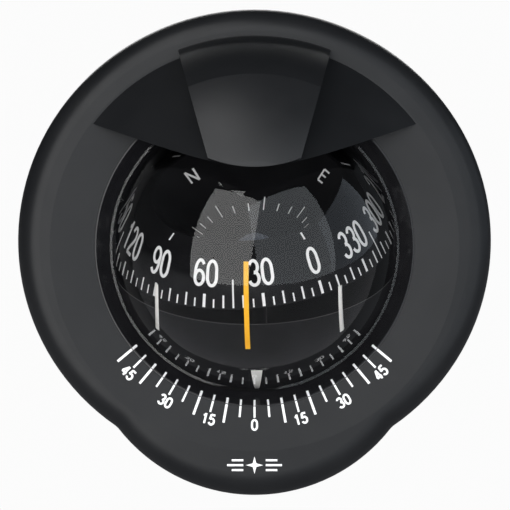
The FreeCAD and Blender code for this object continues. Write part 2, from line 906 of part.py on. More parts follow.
def correctors():
    """Two spindles, each with a magnet across it, that trim out the boat's own magnetism."""
    rear = "block_rear + 0.5"
    spindle = rod("corrector_radius", rear, "corrector_length", "north_corrector_x", "corrector_y")
    hole = crosswise("north_corrector_x", "corrector_y", "block_rear + 9", "X")
    slot = block("6", "0.8", "1", "north_corrector_x - 3", "corrector_y - 0.4", rear)
    node(less(less(spindle, hole), slot), "north_corrector_spindle", housing)
    magnet = crosswise("north_corrector_x", "corrector_y", "block_rear + 9", "X")
    node(alone(magnet), "north_corrector_magnet", housing)
    sideways = Rotation(Vector(0, 1, 0), 90)
    low_x = "block_half_width - 0.5 - corrector_length"
    spindle = rod("corrector_radius", "east_corrector_z", "corrector_length", low_x, "corrector_y", sideways)
    hole = crosswise("block_half_width - 9", "corrector_y", "east_corrector_z", "Z")
    slot = block("1", "0.8", "6", "block_half_width - 1.5", "corrector_y - 0.4", "east_corrector_z - 3")
    node(less(less(spindle, hole), slot), "east_corrector_spindle", housing)
    magnet = crosswise("block_half_width - 9", "corrector_y", "east_corrector_z", "Z")
    node(alone(magnet), "east_corrector_magnet", housing)


def crosswise(x, y, z, axis):
    """A corrector's magnet, centred on a point and lying along X or Z."""
    half = "corrector_magnet_length / 2"
    if axis == "Z":
        return rod("corrector_magnet_radius", f"{z} - {half}", "corrector_magnet_length", x, y)
    turn = Rotation(Vector(0, 1, 0), 90)
    return rod("corrector_magnet_radius", z, "corrector_magnet_length", f"{x} - {half}", y, turn)


# Gimbals. The roll frame turns about the compass axis, and is drawn from the dome's centre.


def bearing_bridge():
    """A bar across the bowl's neck, with the bush that the roll shaft turns in."""
    low = "neck_end + bridge_height"
    front = f"{low} + bridge_depth"
    disc = rod("neck_inside_radius", low, "bridge_depth")
    bar_size = ("2 * neck_inside_radius", "2 * bridge_half_width", "bridge_depth")
    bar = block(*bar_size, "-neck_inside_radius", "-bridge_half_width", low)
    made = doc.addObject("Part::Common", "Bridge")
    made.Base = disc
    made.Tool = bar
    doc.recompute()
    node(less(made, rod("roll_bush_radius", "neck_end", "10")), "bearing_bridge", housing)
    corners = [
        ("roll_bush_bore", "neck_end + 0.5"),
        ("roll_bush_radius", "neck_end + 0.5"),
        ("roll_bush_radius", f"{front} + 0.5"),
        ("roll_bush_bore", f"{front} + 0.5"),
    ]
    node(turned(new_body(), corners), "roll_bush", housing)


def swept(half_width, inner, outer, sweep):
    """A strip bent about the X axis, from straight down the face towards the front."""
    corners = [
        (f"-{half_width}", f"-{outer}"),
        (half_width, f"-{outer}"),
        (half_width, f"-{inner}"),
        (f"-{half_width}", f"-{inner}"),
    ]
    return turned(new_body(), corners, angle=sweep, role="XY_Plane", axis="H_Axis", reverse=True)


def roll_frame():
    """Ring around the card, with a yoke over the back, a hub and the pointer's tongue."""
    body = turned(
        new_body(),
        [
            ("ring_inside", "-ring_half_depth"),
            ("ring_outside", "-ring_half_depth"),
            ("ring_outside", "ring_half_depth"),
            ("ring_inside", "ring_half_depth"),
        ],
    )
    yoke = [
        ("-yoke_half_width", "-yoke_outside"),
        ("yoke_half_width", "-yoke_outside"),
        ("yoke_half_width", "-yoke_inside"),
        ("-yoke_half_width", "-yoke_inside"),
    ]
    turned(body, yoke, angle="180", role="XY_Plane", axis="H_Axis")
    padded(body, [("yoke_half_width - 0.5", "0", "0")], "hub_end", "2")
    tongue = [
        ("-tongue_half_width", "-tongue_outside"),
        ("tongue_half_width", "-tongue_outside"),
        ("tongue_half_width", "-yoke_inside"),
        ("-tongue_half_width", "-yoke_inside"),
    ]
    turned(body, tongue, angle="30", role="XY_Plane", axis="H_Axis", reverse=True)
    pins = [("pitch_bush_radius", "0", "0")]
    sketch = circles(sketch_on(body, "YZ_Plane"), pins)
    cut = feature(body, "Pocket", sketch, Length=THROUGH)
    cut.Midplane = True
    checked(body, False)
    node(body, "roll_frame", roll_frame_place)
    shaft = rod("roll_shaft_radius", "roll_shaft_end", "hub_end - roll_shaft_end")
    node(alone(shaft), "roll_shaft", roll_frame_place)


def along_x(radius, low, length):
    return rod(radius, "0", length, low, turn=Rotation(Vector(0, 1, 0), 90))


def pitch_bushes():
    bore = along_x("pitch_bush_bore", f"-{THROUGH} / 2", THROUGH)
    bushes = [
        along_x("pitch_bush_radius", low, "pitch_bush_length")
        for low in ("ring_inside", "-ring_inside - pitch_bush_length")
    ]
    node(less(joined(bushes), bore), "pitch_bushes", roll_frame_place)


def roll_ballast():
    """A slug on the underside of the yoke that keeps the roll frame's foot down."""
    half = "roll_ballast_half"
    body = new_body()
    corners = [
        (half, f"-sqrt(roll_ballast_inside^2 - {half}^2)"),
        (f"-{half}", f"-sqrt(roll_ballast_inside^2 - {half}^2)", "roll_ballast_inside", "right"),
        (f"-{half}", f"-sqrt(roll_ballast_outside^2 - {half}^2)"),
        (half, f"-sqrt(roll_ballast_outside^2 - {half}^2)", "roll_ballast_outside"),
    ]
    turned(body, corners, angle="roll_ballast_sweep", role="XY_Plane", axis="H_Axis")
    start = Placement(Vector(), Rotation(Vector(1, 0, 0), value("roll_ballast_start")))
    node(body, "roll_ballast", roll_frame_place * start)


def clinometer_pointer():
    """The pale wedge on the tongue that points at the heel scale."""
    sweep = "(pointer_base_angle - pointer_tip_angle)"
    body = swept("pointer_base_half", "tongue_outside", "pointer_outside", sweep)
    reach = f"pointer_outside * sin({sweep})"
    for side in ("", "-"):
        corners = [
            (side + "pointer_tip_half", "0"),
            (side + "pointer_base_half", reach),
            (side + "10", reach),
            (side + "10", "-1"),
            (side + "pointer_tip_half", "-1"),
        ]
        cut_through(body, "XZ_Plane", corners)
    start = Placement(Vector(), Rotation(Vector(1, 0, 0), -value("pointer_tip_angle")))
    node(body, "clinometer_pointer", roll_frame_place * start)


# The mask bowl hangs upright in the roll frame and carries the card's pivot.


def mask_bowl():
    """A bowl under the card, with an ear at each end of the pitch axis to carry its pin."""
    top = "mask_ear_height"
    body = turned(
        new_body(),
        [
            ("0", "-mask_radius"),
            (f"sqrt(mask_radius^2 - {top}^2)", top, "mask_radius"),
            (f"sqrt(mask_inside_radius^2 - {top}^2)", top),
            ("0", "-mask_inside_radius", "mask_inside_radius", "right"),
        ],
    )
    above = ("2 * mask_radius", "mask_radius", f"{top} + 1 - mask_rim_height", "-mask_radius")
    gaps = [
        block(*above, "mask_ear_half_width", "mask_rim_height"),
        block(*above, "-mask_ear_half_width - mask_radius", "mask_rim_height"),
    ]
    reach = "(mask_radius - 0.3)"
    lugs = [
        along_x("lug_radius", "lug_inside_x", f"{reach} - lug_inside_x"),
        along_x("lug_radius", f"-{reach}", f"{reach} - lug_inside_x"),
    ]
    shell = less(body, joined(gaps))
    bores = along_x("pitch_pin_radius", f"-{THROUGH} / 2", THROUGH)
    node(less(joined([shell] + lugs), bores), "mask_bowl", bowl_place)


def pitch_pins():
    lows = ("lug_inside_x", "-lug_inside_x - pitch_pin_length")
    pins = [along_x("pitch_pin_radius", low, "pitch_pin_length") for low in lows]
    node(joined(pins), "pitch_pins", bowl_place)


def mask_ballast():
    low = "mask_inside_radius"
    top = f"({low} - ballast_height)"
    corners = [
        ("0", f"-{low}"),
        (f"sqrt({low}^2 - {top}^2)", f"-{top}", low),
        ("0", f"-{top}"),
    ]
    node(turned(new_body(), corners), "mask_ballast", bowl_place)


def lubber_strip(half_width, low, high, offset):
    """A thin line on the outside of the mask bowl, upright and at an offset from its middle. It
    runs from low degrees under the pitch axis to high degrees over it."""
    left = f"({offset} - {half_width})"
    right = f"({offset} + {half_width})"
    corners = [
        (right, f"-sqrt(mask_radius^2 - {right}^2)"),
        (left, f"-sqrt(mask_radius^2 - {left}^2)", "mask_radius", "right"),
        (left, f"-sqrt(lubber_outside^2 - {left}^2)"),
        (right, f"-sqrt(lubber_outside^2 - {right}^2)", "lubber_outside"),
    ]
    sweep = f"{low} + {high}"
    strip = turned(new_body(), corners, angle=sweep, role="XY_Plane", axis="H_Axis", reverse=True)
    turn = Rotation(Vector(0, 0, 1), value("lubber_azimuth")) * Rotation(Vector(1, 0, 0), value(low))
    strip.Placement = Placement(Vector(), turn)
    return strip


def lubber_lines():
    middle = lubber_strip("lubber_half_width", "lubber_low", "lubber_high", "0")
    node(middle, "lubber_line", bowl_place)
    sides = [
        lubber_strip("side_lubber_half_width", "side_lubber_low", "side_lubber_high", offset)
        for offset in ("-side_lubber_offset", "side_lubber_offset")
    ]
    node(joined(sides), "side_lubber_lines", bowl_place)


def card_pivot():
    """A post on the bowl's ballast. Its needle ends at the dome's centre, where the card hangs."""
    low = "ballast_height - mask_inside_radius"
    node(alone(rod("post_radius", low, f"post_height - ({low})")), "pivot_post", bowl_place)
    corners = [
        ("0", "post_height"),
        ("needle_radius", "post_height"),
        ("needle_radius", "-needle_point"),
        ("0", "0"),
    ]
    node(turned(new_body(), corners), "pivot_needle", bowl_place)


# The card and what turns with it


def compass_card():
    """A steep skirt, a shoulder that leans in to a crown, and a well that falls to the hub."""
    well_low = "(well_height - well_wall)"
    well_slope = "((crown_height - well_height) / (crown_inside - well_radius))"
    skirt_slope = "(shoulder_height / (card_radius - shoulder_radius))"
    lean_slope = "((crown_height - shoulder_height) / (shoulder_radius - crown_radius))"
    skirt_in = "(card_radius - card_wall)"
    lean_top = f"(shoulder_height + {lean_slope} * shoulder_radius - lean_wall)"
    skirt_top = f"({skirt_slope} * {skirt_in})"
    knee = f"(({skirt_top} - {lean_top}) / ({skirt_slope} - {lean_slope}))"
    well_base = f"({well_low} - {well_slope} * well_foot_radius)"
    ridge = f"(({lean_top} - {well_base}) / ({lean_slope} + {well_slope}))"
    corners = [
        (skirt_in, "0"),
        ("card_radius", "0"),
        ("shoulder_radius", "shoulder_height"),
        ("crown_radius", "crown_height"),
        ("crown_inside", "crown_height"),
        ("well_radius", "well_height"),
        ("cup_radius", "well_height"),
        ("cup_radius", well_low),
        ("well_foot_radius", well_low),
        (ridge, f"({well_base} + {well_slope} * {ridge})"),
        (knee, f"({skirt_top} - {skirt_slope} * {knee})"),
    ]
    node(turned(new_body(), corners), "compass_card", card_place)


def card_hub():
    """The float under the card, the jewelled cup it hangs from, and its two bar magnets."""
    under = "well_height - well_wall"
    ring = [
        ("cup_radius", "float_low"),
        ("float_radius", "float_low"),
        ("float_radius", under),
        ("cup_radius", under),
    ]
    node(turned(new_body(), ring), "card_float", card_place)
    jewel = "card_drop + jewel_gap"
    cup = [
        ("0", jewel),
        ("jewel_bore", jewel),
        ("jewel_bore", "cup_low"),
        ("cup_radius", "cup_low"),
        ("cup_radius", "cup_height - 1"),
        ("cup_radius - 1.5", "cup_height"),
        ("0", "cup_height"),
    ]
    node(turned(new_body(), cup), "jewel_cup", card_place)
    wide = "card_magnet_width"
    bars = [
        block(wide, "card_magnet_length", wide, low, "-card_magnet_length / 2", "float_low + 1")
        for low in ("float_radius", f"-float_radius - {wide}")
    ]
    node(joined(bars), "card_magnets", card_place)


def write_parts():
    """Check every object and every finished piece, then write one file for each."""
    doc.recompute()
    for obj in doc.Objects:
        if {"Invalid", "Error"} & set(obj.State):
            raise RuntimeError(f"{obj.Name} ({obj.Label}) is {obj.State}")
    for name, piece in nodes.items():
        if piece.Shape.isNull() or not piece.Shape.isValid() or not piece.Shape.Solids:
            raise RuntimeError(f"{name} has no valid solid")
    os.makedirs("parts", exist_ok=True)
    for name, piece in nodes.items():
        piece.Shape.exportStep(f"parts/{name}.step")
        size = piece.Shape.BoundBox
        print(f"{name}: {len(piece.Shape.Solids)} solids, {piece.Shape.Volume:.0f} mm3, {size}")


for build in (
    fascia, visor_hood, lamp_bonnet, visor_screws, lamp, lamp_terminals,
    gasket, mounting_ring, mounting_studs,
    dome, dome_bezel, bezel_screws, dome_seal, rear_bowl, filler, bellows, correctors, bearing_bridge,
    roll_frame, pitch_bushes, roll_ballast, clinometer_pointer,
    mask_bowl, pitch_pins, mask_ballast, lubber_lines, card_pivot,
    compass_card, card_hub,
):
    build()
write_parts()
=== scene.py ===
"""Looks for the bulkhead compass: finishes, the clear dome and every printed mark.

Lengths are in millimetres in the tables and functions below, and become metres where a mesh,
a light or the camera is made.
"""

import json
import math

import bmesh
import bpy
from mathutils import Matrix, Vector, geometry


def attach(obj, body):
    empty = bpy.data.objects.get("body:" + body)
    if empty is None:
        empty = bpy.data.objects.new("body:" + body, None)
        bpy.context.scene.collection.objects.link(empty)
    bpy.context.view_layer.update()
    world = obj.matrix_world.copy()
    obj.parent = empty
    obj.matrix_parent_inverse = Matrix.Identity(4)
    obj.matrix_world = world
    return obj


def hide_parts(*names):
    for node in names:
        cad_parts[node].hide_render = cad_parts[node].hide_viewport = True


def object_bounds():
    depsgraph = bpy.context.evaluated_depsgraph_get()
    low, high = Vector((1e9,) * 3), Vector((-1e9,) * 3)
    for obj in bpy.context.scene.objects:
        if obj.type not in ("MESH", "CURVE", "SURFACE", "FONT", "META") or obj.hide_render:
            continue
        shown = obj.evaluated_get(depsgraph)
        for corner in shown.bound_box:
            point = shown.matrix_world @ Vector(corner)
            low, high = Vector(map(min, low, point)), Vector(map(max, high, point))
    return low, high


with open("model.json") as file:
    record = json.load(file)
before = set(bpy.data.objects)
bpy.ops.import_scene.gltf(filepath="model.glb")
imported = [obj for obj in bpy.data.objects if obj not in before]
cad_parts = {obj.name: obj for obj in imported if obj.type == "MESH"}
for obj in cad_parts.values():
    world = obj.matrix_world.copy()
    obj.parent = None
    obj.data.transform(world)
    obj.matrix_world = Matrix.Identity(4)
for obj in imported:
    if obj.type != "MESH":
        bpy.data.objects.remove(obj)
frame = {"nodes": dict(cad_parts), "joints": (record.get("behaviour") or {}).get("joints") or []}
cad_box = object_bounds()

MM = 0.001
JOINTS = {joint["name"]: joint for joint in frame["joints"]}
RIGHT = Vector((1, 0, 0))
FORWARD = Vector(JOINTS["heel"]["axis"])  # out of the face, along the compass axis
FACE_UP = FORWARD.cross(RIGHT)
CENTRE = Vector(JOINTS["pitch"]["pos_m"])  # of the dome, where the card turns and both gimbals swing
CARD_UP = Vector(JOINTS["card_turn"]["axis"])
CARD_RIGHT = Vector((0, 1, 0)).cross(CARD_UP)
CARD_FRONT = CARD_RIGHT.cross(CARD_UP)

# Printed surfaces, as the CAD part has them. A card edge is (radius, height above its lower edge)
HEADING = 34.2  # degrees at the front of the card
CARD_DROP = 4.34  # of the card's lower edge under the dome's centre
CARD_EDGE = (36.7, 0)
SHOULDER_EDGE = (30.6, 14.4)
CROWN_EDGE = (25.9, 17.8)
WELL_TOP = (25.2, 17.8)
WELL_FOOT = (9, 4.8)
APERTURE_RADIUS = 55.5
APERTURE_HEIGHT = 15.7
DISH_RADIUS = 71
THROAT_FOOT = (50.6, 9.8)  # radius and height of the two edges of the bezel's cone
THROAT_TOP = (55, 15.6)
THROAT_SLOPE = math.dist(THROAT_FOOT, THROAT_TOP)
FACE_HEIGHT = 17
DOME_RADIUS = 49.98  # a hair under the part's 50, whose facets a round surface would pass
DOME_WALL = 2.7
DOME_CENTRE = 7
DOME_RIM_RADIUS = 57.6
DOME_RIM_DEPTH = 2.5

INK_SUNK = -0.06  # how far a printed mark starts under its surface
INK_PROUD = 0.06  # and how far it stands above it
ARC_STEP = 15  # degrees between the points of a glyph's arc
TOUCHING = 1e-6  # points this close are one

ACRYLIC_IOR = 1.49
LIQUID_IOR = 1.43
IOR_IN_LIQUID = 1.08  # of plastic against the liquid, so that it barely shines

TO_WORLD = Matrix((RIGHT, FACE_UP, FORWARD)).transposed()  # from across, up and out of the face


def housing(x, y, z):
    """A point given across the face, up the face and in front of the bulkhead."""
    return TO_WORLD @ Vector((x, y, z)) * MM


# Meshes


def add_mesh(name, builder, finishes, body):
    """Turn a bmesh into a piece of the object that rides on a body."""
    mesh = bpy.data.meshes.new(name)
    bmesh.ops.recalc_face_normals(builder, faces=builder.faces)
    builder.to_mesh(mesh)
    builder.free()
    for finish in finishes:
        mesh.materials.append(finish)
    piece = bpy.data.objects.new(name, mesh)
    bpy.context.scene.collection.objects.link(piece)
    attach(piece, body)
    return piece


def arc(centre, radii, start, end, steps):
    """Points on an ellipse between two angles in degrees."""
    angles = [math.radians(start + (end - start) * step / steps) for step in range(steps + 1)]
    return [(centre[0] + radii[0] * math.cos(a), centre[1] + radii[1] * math.sin(a)) for a in angles]


def turned(profile, place, segments):
    """A closed surface of revolution through (radius, height) points; (0, height) is a pole."""
    builder = bmesh.new()
    rings = []
    for radius, height in profile:
        count = segments if radius else 1
        turns = [math.tau * step / segments for step in range(count)]
        rings.append(
            [builder.verts.new(place(radius * math.cos(a), radius * math.sin(a), height)) for a in turns]
        )
    for lower, upper in zip(rings, rings[1:] + rings[:1]):
        if len(lower) == 1 and len(upper) == 1:
            continue
        for step in range(segments):
            after = (step + 1) % segments
            if len(lower) == 1:
                corners = (lower[0], upper[after], upper[step])
            elif len(upper) == 1:
                corners = (lower[step], lower[after], upper[0])
            else:
                corners = (lower[step], lower[after], upper[after], upper[step])
            builder.faces.new(corners)
    return builder


def smoothed(builder, limit=30):
    """Shade a mesh smooth, but keep edges that turn by more than the limit sharp."""
    for face in builder.faces:
        face.smooth = True
    for edge in builder.edges:
        if len(edge.link_faces) == 2 and edge.calc_face_angle() > math.radians(limit):
            edge.smooth = False


# Printing: flat outlines, joined and laid on a surface as a thin closed film


def ribbon(path, width):
    """Quads of one width along a smooth path."""
    points = [Vector(point) for point in path]
    closed = (points[0] - points[-1]).length < TOUCHING
    sides = []
    for index, point in enumerate(points):
        before = points[max(index - 1, 0)]
        after = points[min(index + 1, len(points) - 1)]
        if closed and index in (0, len(points) - 1):
            before, after = points[-2], points[1]
        along = (after - before).normalized()
        aside = Vector((-along.y, along.x)) * width / 2
        sides.append((point + aside, point - aside))
    return [(a[0], a[1], b[1], b[0]) for a, b in zip(sides, sides[1:])]


def joined_outline(polygons):
    """Points and triangles of the area that some polygons cover together."""
    triangles_inside = 1
    nearness = 1e-4
    points = []
    faces = []
    for polygon in polygons:
        faces.append(list(range(len(points), len(points) + len(polygon))))
        points += [Vector(point) for point in polygon]
    joined = geometry.delaunay_2d_cdt(points, [], faces, triangles_inside, nearness)
    flat, _, triangles, _, _, covers = joined
    return flat, [triangle for triangle, cover in zip(triangles, covers) if cover]


def film(builder, polygons, surface):
    """Add one mark to a mesh. The surface turns (across, along, lift) into a point."""
    flat, triangles = joined_outline(polygons)
    top = [builder.verts.new(surface(point.x, point.y, INK_PROUD)) for point in flat]
    base = [builder.verts.new(surface(point.x, point.y, INK_SUNK)) for point in flat]
    edges = {}
    for triangle in triangles:
        builder.faces.new([top[corner] for corner in triangle])
        builder.faces.new([base[corner] for corner in reversed(triangle)])
        for one, other in zip(triangle, triangle[1:] + triangle[:1]):
            edges.setdefault(frozenset((one, other)), []).append((one, other))
    for users in edges.values():
        if len(users) == 1:
            one, other = users[0]
            builder.faces.new((top[other], top[one], base[one], base[other]))


def upside_down(runs):
    """Runs of a glyph, turned half round."""
    flipped = []
    for run in runs:
        flipped.append([])
        for x, y, *curve in run:
            if curve:
                width, height, start, end = curve
                curve = (width, height, start + 180, end + 180)
            flipped[-1].append((-x, -y, *curve))
    return flipped


# Each glyph is a list of runs inside a box from -1 to 1 both ways. A run is a list of points and
# of elliptical arcs (centre x, centre y, radius x, radius y, start, end).
BOWL = (0, -0.42, 0.98, 0.58)
SIX = [[(*BOWL, 0, 360)], [(-0.98, -0.45), (0.08, 0.1, 1.06, 0.9, 180, 40)]]
GLYPHS = {
    "0": [[(0, 0.3, 1, 0.7, 0, 180), (0, -0.3, 1, 0.7, 180, 360), (1, 0.3)]],
    "1": [[(-0.7, 0.52), (-0.2, 0.62), (0.15, 0.95)], [(0.22, 1.06), (0.22, -1.06)]],
    "2": [
        [(0, 0.42, 0.94, 0.58, 165, -12), (0.62, 0.02), (-0.3, -0.5), (-0.8, -0.85), (-0.88, -1.0)],
        [(-1.06, -1), (1.06, -1)],
    ],
    "3": [[(0, 0.5, 0.88, 0.5, 160, -75), (0.02, 0.02)], [(0.02, 0.06), (0, -0.46, 1, 0.54, 68, -162)]],
    "4": [[(0.5, -1.06), (0.5, 1.06)], [(0.42, 1), (-0.95, -0.4)], [(-1.1, -0.45), (1.15, -0.45)]],
    "5": [
        [(0.9, 1), (-0.7, 1)],
        [(-0.66, 1.04), (-0.86, 0.0)],
        [(-0.05, -0.38, 1.02, 0.62, 140, -158)],
    ],
    "6": SIX,
    "7": [[(-1, 1), (1.05, 1)], [(0.96, 1), (0.1, -0.05), (-0.32, -1.06)]],
    "8": [[(0, 0.5, 0.84, 0.5, 0, 360)], [(0, -0.46, 1, 0.54, 0, 360)]],
    "9": upside_down(SIX),
    "N": [[(-1, -1), (-1, 1)], [(-1, 1), (1, -1)], [(1, -1), (1, 1)]],
    "E": [[(-1, -1), (-1, 1)], [(-1, 1), (0.9, 1)], [(-1, 0.05), (0.7, 0.05)], [(-1, -1), (0.95, -1)]],
    "S": [[(0, 0.5, 0.9, 0.5, 20, 270), (0, -0.5, 0.95, 0.5, 90, -160)]],
    "W": [[(-1.3, 1), (-0.65, -1)], [(-0.65, -1), (0, 1)], [(0, 1), (0.65, -1)], [(0.65, -1), (1.3, 1)]],
}


def glyph(letter, size, pen, across=0):
    """Outlines of one figure or letter, centred at a distance across."""
    half_width = (size[0] - pen) / 2
    half_height = (size[1] - pen) / 2
    apart = 1e-3
    polygons = []
    for run in GLYPHS[letter]:
        path = []
        for x, y, *curve in run:
            if curve:
                width, height, start, end = curve
                steps = max(4, round(abs(end - start) / ARC_STEP))
                path += arc((x, y), (width, height), start, end, steps)
            else:
                path.append((x, y))
        scaled = [(x * half_width + across, y * half_height) for x, y in path]
        spread = [scaled[0]]
        spread += [b for a, b in zip(scaled, scaled[1:]) if (Vector(a) - Vector(b)).length > apart]
        polygons += ribbon(spread, pen)
    return polygons


def written(text, size, pen, gap):
    """Outlines of a word, centred."""
    pitch = size[0] + gap
    first = -pitch * (len(text) - 1) / 2
    return [glyph(letter, size, pen, first + pitch * index) for index, letter in enumerate(text)]


def box(left, right, start, end):
    """A rectangle; start and end are its two ends along the surface."""
    return [(left, start), (right, start), (right, end), (left, end)]


def bar(width, start, end):
    """A straight tick that runs along the surface."""
    return box(-width / 2, width / 2, start, end)


def raised(polygons, along):
    """Outlines moved along the surface."""
    return [[(x, y + along) for x, y in polygon] for polygon in polygons]


# Surfaces that carry print


def cone_surface(low, high, azimuth, inward=False):
    """Lay out a cone of the card: across is to the reader's right, along is up the slope.
    low and high are its two edges; azimuth grows from the front towards the reader's right."""
    run = high[0] - low[0]
    rise = high[1] - low[1]
    slope = math.hypot(run, rise)
    middle = (low[0] + high[0]) / 2
    side = -1 if inward else 1

    def surface(across, along, lift):
        angle = math.radians(azimuth) + side * across / middle
        outward = CARD_RIGHT * math.sin(angle) + CARD_FRONT * math.cos(angle)
        normal = (outward * rise - CARD_UP * run) / slope * side
        radius = low[0] + run * along / slope
        height = low[1] + rise * along / slope - CARD_DROP
        return CENTRE + (outward * radius + CARD_UP * height + normal * lift) * MM

    return surface


def skirt(azimuth):
    """The card's sloped edge, with ticks and numerals."""
    return cone_surface(CARD_EDGE, SHOULDER_EDGE, azimuth)


def shoulder(azimuth):
    """The narrow cone above the card's sloped edge."""
    return cone_surface(SHOULDER_EDGE, CROWN_EDGE, azimuth)


def well(azimuth):
    """The hollow in the middle of the card."""
    return cone_surface(WELL_FOOT, WELL_TOP, azimuth, True)


def directions(angle):
    """Away from the compass axis at an angle from straight down, and across that to the right."""
    turn = math.radians(angle)
    outward = Vector((math.sin(turn), -math.cos(turn)))
    aside = Vector((math.cos(turn), math.sin(turn)))
    return outward, aside


def face_surface(angle, distance):
    """Lay out the fascia round a point at an angle from straight down. Across is to the right of
    somebody who reads the mark, along is towards the compass axis."""
    outward, aside = directions(angle)
    slope = (FACE_HEIGHT - APERTURE_HEIGHT) / (DISH_RADIUS - APERTURE_RADIUS)

    def surface(across, along, lift):
        flat = outward * (distance - along) + aside * across
        height = APERTURE_HEIGHT + slope * (min(flat.length, DISH_RADIUS) - APERTURE_RADIUS)
        return housing(flat.x, flat.y, height + lift)

    return surface


def throat_surface(angle):
    """Lay out the throat's cone: across is to the reader's right, along is out from THROAT_FOOT."""
    outward, aside = directions(angle)
    run = THROAT_TOP[0] - THROAT_FOOT[0]
    rise = THROAT_TOP[1] - THROAT_FOOT[1]

    def surface(across, along, lift):
        radius = THROAT_FOOT[0] + (run * along - rise * lift) / THROAT_SLOPE
        height = THROAT_FOOT[1] + (rise * along + run * lift) / THROAT_SLOPE
        flat = outward * radius + aside * across
        return housing(flat.x, flat.y, height)

    return surface


# Printed marks


def card_azimuth(mark):
    """Where the card carries a heading, from the front towards the reader's right."""
    return HEADING - mark


def card_tick_size(mark):
    """Width of the tick at a heading, and how far up the skirt it ends."""
    if mark % 90 == 45:
        return 0.5, 9.4
    if mark % 30 == 0:
        return 0.85, 4.7
    if mark % 10 == 0:
        return 0.55, 4.5
    return 0.45, 3.2


def card_ticks(ink):
    foot = 0.5
    builder = bmesh.new()
    for mark in range(0, 360, 5):
        width, top = card_tick_size(mark)
        film(builder, [bar(width, foot, top)], skirt(card_azimuth(mark)))
    add_mesh("card_degree_ticks", builder, [ink], "card")


def card_numerals(ink):
    middle = 11.1
    size = (4, 8.5)
    pen = 1
    gap = 0.25
    builder = bmesh.new()
    for mark in range(0, 360, 30):
        surface = skirt(card_azimuth(mark))
        for polygons in written(str(mark), size, pen, gap):
            film(builder, raised(polygons, middle), surface)
    add_mesh("card_numerals", builder, [ink], "card")


def card_letters(ink):
    """Cardinal letters in the card's well. Each one is read across the card, so it stands
    opposite its heading's numeral."""
    middle = 16.3
    aside = 2.5
    size = (2.3, 3.3)
    pen = 0.42
    builder = bmesh.new()
    for quarter, letter in enumerate("NESW"):
        surface = well(card_azimuth(quarter * 90) + 180 + aside)
        film(builder, raised(glyph(letter, size, pen), middle), surface)
    add_mesh("card_letters", builder, [ink], "card")


def card_well_marks(ink):
    """Dashes on the shoulder at the cardinals, and a plain ring of dashes low in the well."""
    cardinal = bar(0.6, 2.6, 5.1)
    foot = 4.6
    long_dash = bar(0.35, foot, foot + 3.2)
    short_dash = bar(0.35, foot, foot + 1.8)
    builder = bmesh.new()
    for mark in range(0, 360, 90):
        film(builder, [cardinal], shoulder(card_azimuth(mark)))
    for mark in range(0, 360, 15):
        dash = short_dash if mark % 45 else long_dash
        film(builder, [dash], well(card_azimuth(mark)))
    add_mesh("card_well_marks", builder, [ink], "card")


def heel_scale(ink):
    """Ticks on the face, the inner ends of which run over the edge and down into the throat."""
    start = APERTURE_RADIUS + 0.05  # just clear of the edge
    depth = 2.6  # down the throat
    overlap = 0.35  # past the throat's edge, to meet the tick on the face
    builder = bmesh.new()
    for angle in range(-50, 51, 5):
        long_tick = abs(angle) in (10, 20, 40, 50)
        width, reach = (0.85, 62) if long_tick else (0.7, 59.4)
        film(builder, [bar(width, 0, reach - start)], face_surface(angle, reach))
        inner = bar(width, THROAT_SLOPE - depth, THROAT_SLOPE + overlap)
        film(builder, [inner], throat_surface(angle))
    add_mesh("heel_scale_ticks", builder, [ink], "root")


def heel_labels(ink):
    distance = 61.9
    size = (2.45, 4.1)
    pen = 0.72
    gap = 0.12
    builder = bmesh.new()
    for angle in range(-45, 46, 15):
        for polygons in written(str(abs(angle)), size, pen, gap):
            film(builder, polygons, face_surface(angle, distance))
    add_mesh("heel_scale_figures", builder, [ink], "root")


def star(tip, waist):
    """A four-pointed star; the waist is half the side of the square between its points."""
    points = []
    for step in range(8):
        reach = waist * math.sqrt(2) if step % 2 else tip
        angle = math.radians(45 * step)
        points.append((reach * math.cos(angle), reach * math.sin(angle)))
    return points


def face_mark(ink):
    """A plain four-pointed star between bars."""
    distance = 75.8  # of the star's middle from the compass axis
    gap = 3.9  # from the star's middle to the bars
    half = 0.35  # of a bar's thickness
    surface = face_surface(0, distance)
    builder = bmesh.new()
    film(builder, [star(tip=3, waist=0.62)], surface)
    for side in (-1, 1):
        for level, length in ((-1.7, 4), (0, 5.6), (1.7, 4)):
            left, right = sorted((side * gap, side * (gap + length)))
            film(builder, [box(left, right, level - half, level + half)], surface)
    add_mesh("face_mark", builder, [ink], "root")


def clear_dome(outer, inner):
    """The dome again, fine enough to refract: acrylic against air outside, against liquid inside."""
    start = math.degrees(math.asin(DOME_RIM_DEPTH / DOME_RADIUS))
    inside = DOME_RADIUS - DOME_WALL
    middle = (0, DOME_CENTRE)
    steps = 72
    profile = [(DOME_RIM_RADIUS, DOME_CENTRE), (DOME_RIM_RADIUS, DOME_CENTRE + DOME_RIM_DEPTH)]
    profile += arc(middle, (DOME_RADIUS, DOME_RADIUS), start, 90, steps)
    profile += arc(middle, (inside, inside), 90, 0, steps)
    profile = [(radius if radius > TOUCHING else 0, height) for radius, height in profile]
    builder = turned(profile, housing, segments=256)
    builder.normal_update()
    smoothed(builder)
    half_way = (DOME_RADIUS - DOME_WALL / 2) * MM
    for face in builder.faces:
        face.material_index = int((face.calc_center_median() - CENTRE).length < half_way)
    piece = add_mesh("dome_clear", builder, [outer, inner], "root")
    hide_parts("dome")


# Finishes


